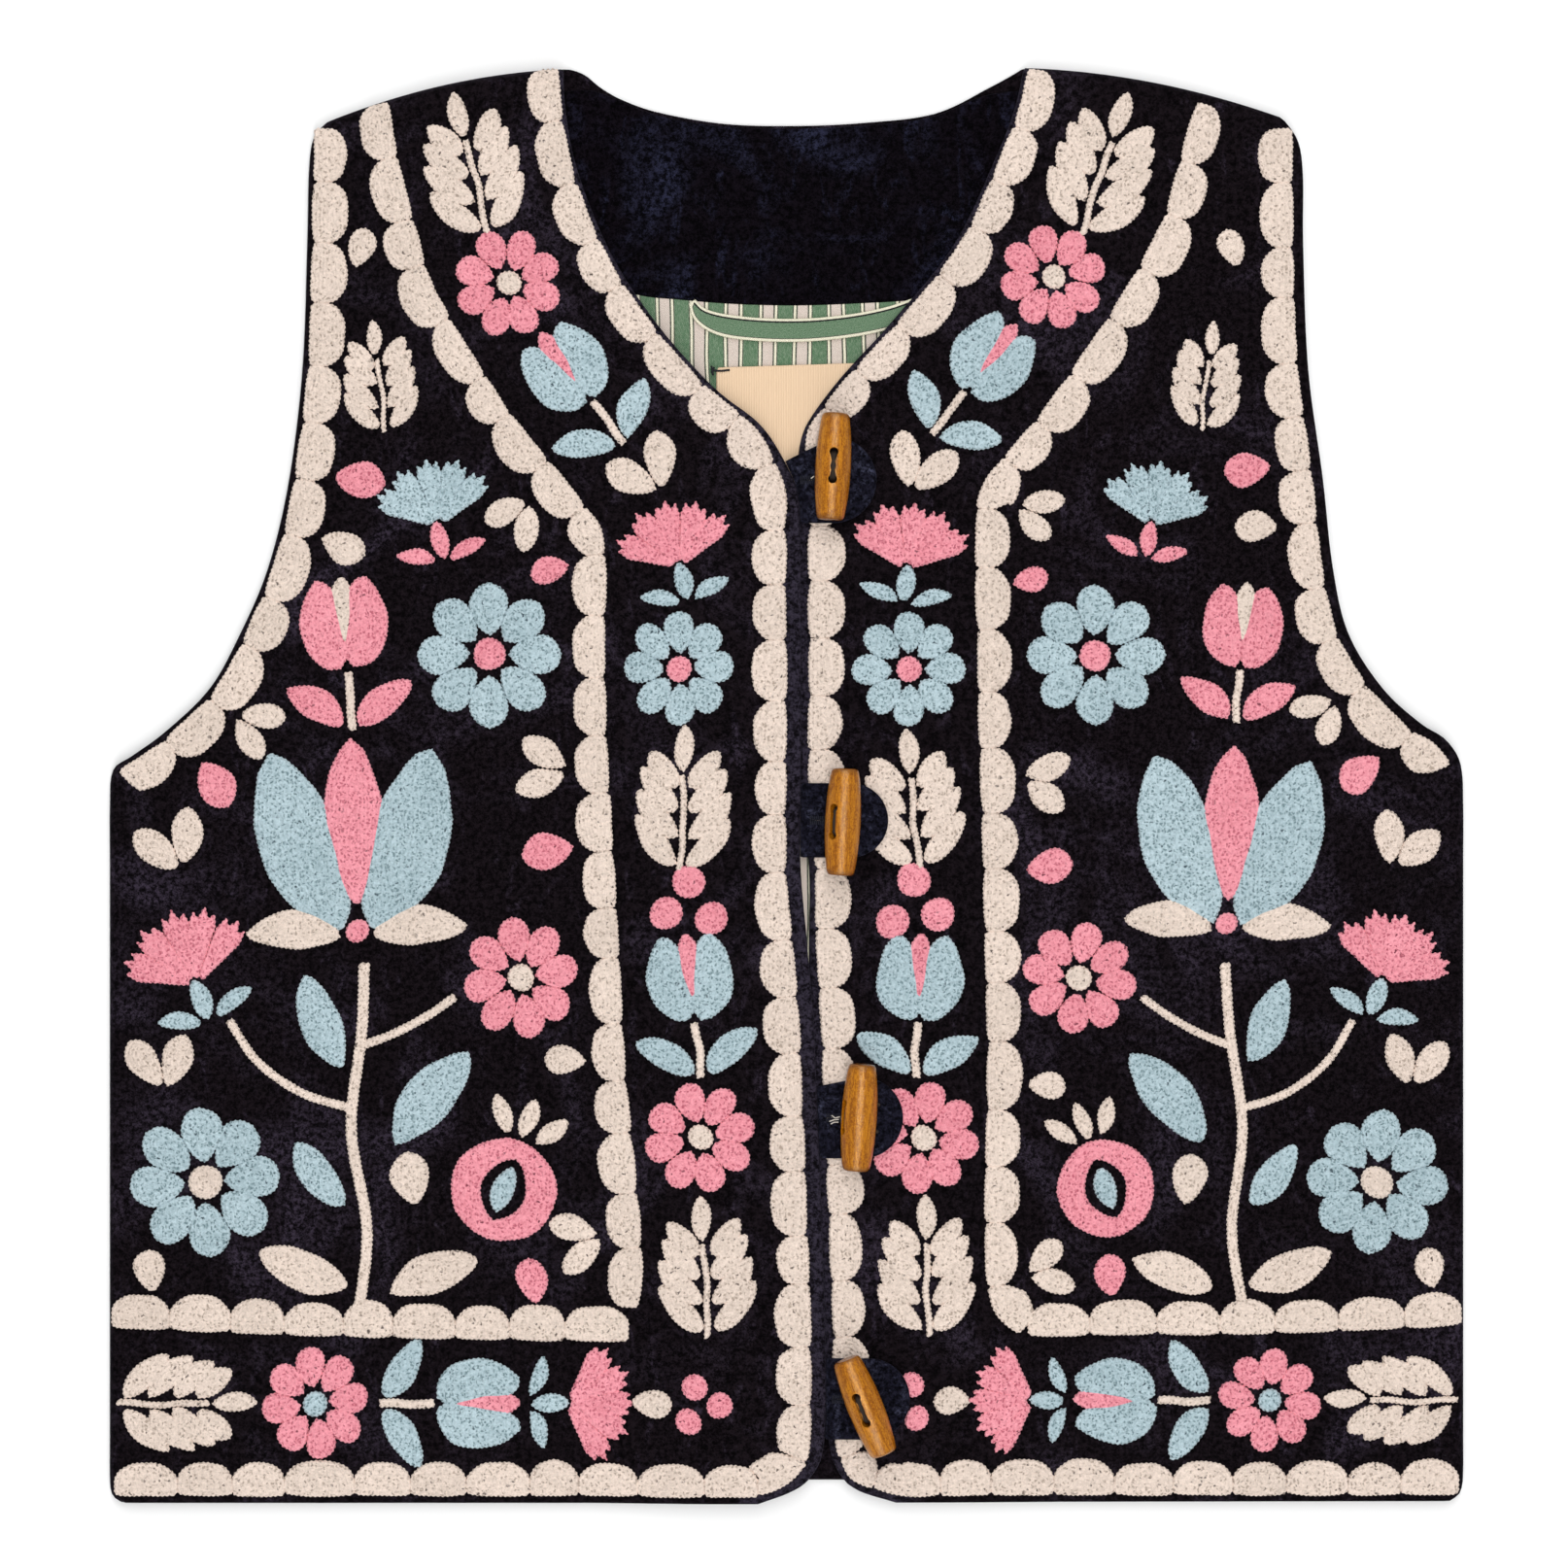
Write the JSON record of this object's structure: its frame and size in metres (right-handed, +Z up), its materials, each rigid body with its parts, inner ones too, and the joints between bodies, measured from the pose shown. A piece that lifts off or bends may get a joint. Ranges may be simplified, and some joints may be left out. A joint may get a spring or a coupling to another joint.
{
  "type": "embroidered sleeveless jacket",
  "caption": "Sleeveless cropped velvet jacket laid flat, with raised floral chain stitch, scalloped borders, a striped lining and tabs over wooden toggles.",
  "frame": {"origin": "on the surface that the jacket lies on, under the middle of its width and length", "axes": "+Z up out of the surface, +Y from the hem to the shoulders, +X to the wearer's left, which is the viewer's right"},
  "size_m": [0.52, 0.551, 0.0246],
  "materials": {
    "velvet": "dark navy cotton velvet, short nap",
    "lining": "plain-weave cotton with green, cream and mauve stripes",
    "tape": "ribbed woven tape, bare",
    "stitching": "raised chain stitch in wool-like thread, cream, pink and sky blue",
    "toggle": "turned, stained and lacquered"
  },
  "bodies": {
    "root": {"back_panel": "velvet", "back_hem_facing": "velvet", "back_lining": "lining", "back_neck_facing": "velvet", "hanging_loop": "lining", "label_tape": "tape", "front_right": "velvet", "front_left": "velvet", "border_edge_right": "stitching", "border_armhole_right": "stitching", "border_panel_right": "stitching", "border_hem_right": "stitching", "border_edge_left": "stitching", "border_armhole_left": "stitching", "border_panel_left": "stitching", "border_hem_left": "stitching", "tab_1": "velvet", "tab_2": "velvet", "tab_3": "velvet", "tab_4": "velvet", "toggle_1": "toggle", "toggle_2": "toggle", "toggle_3": "toggle", "toggle_4": "toggle"}
  },
  "joints": []
}
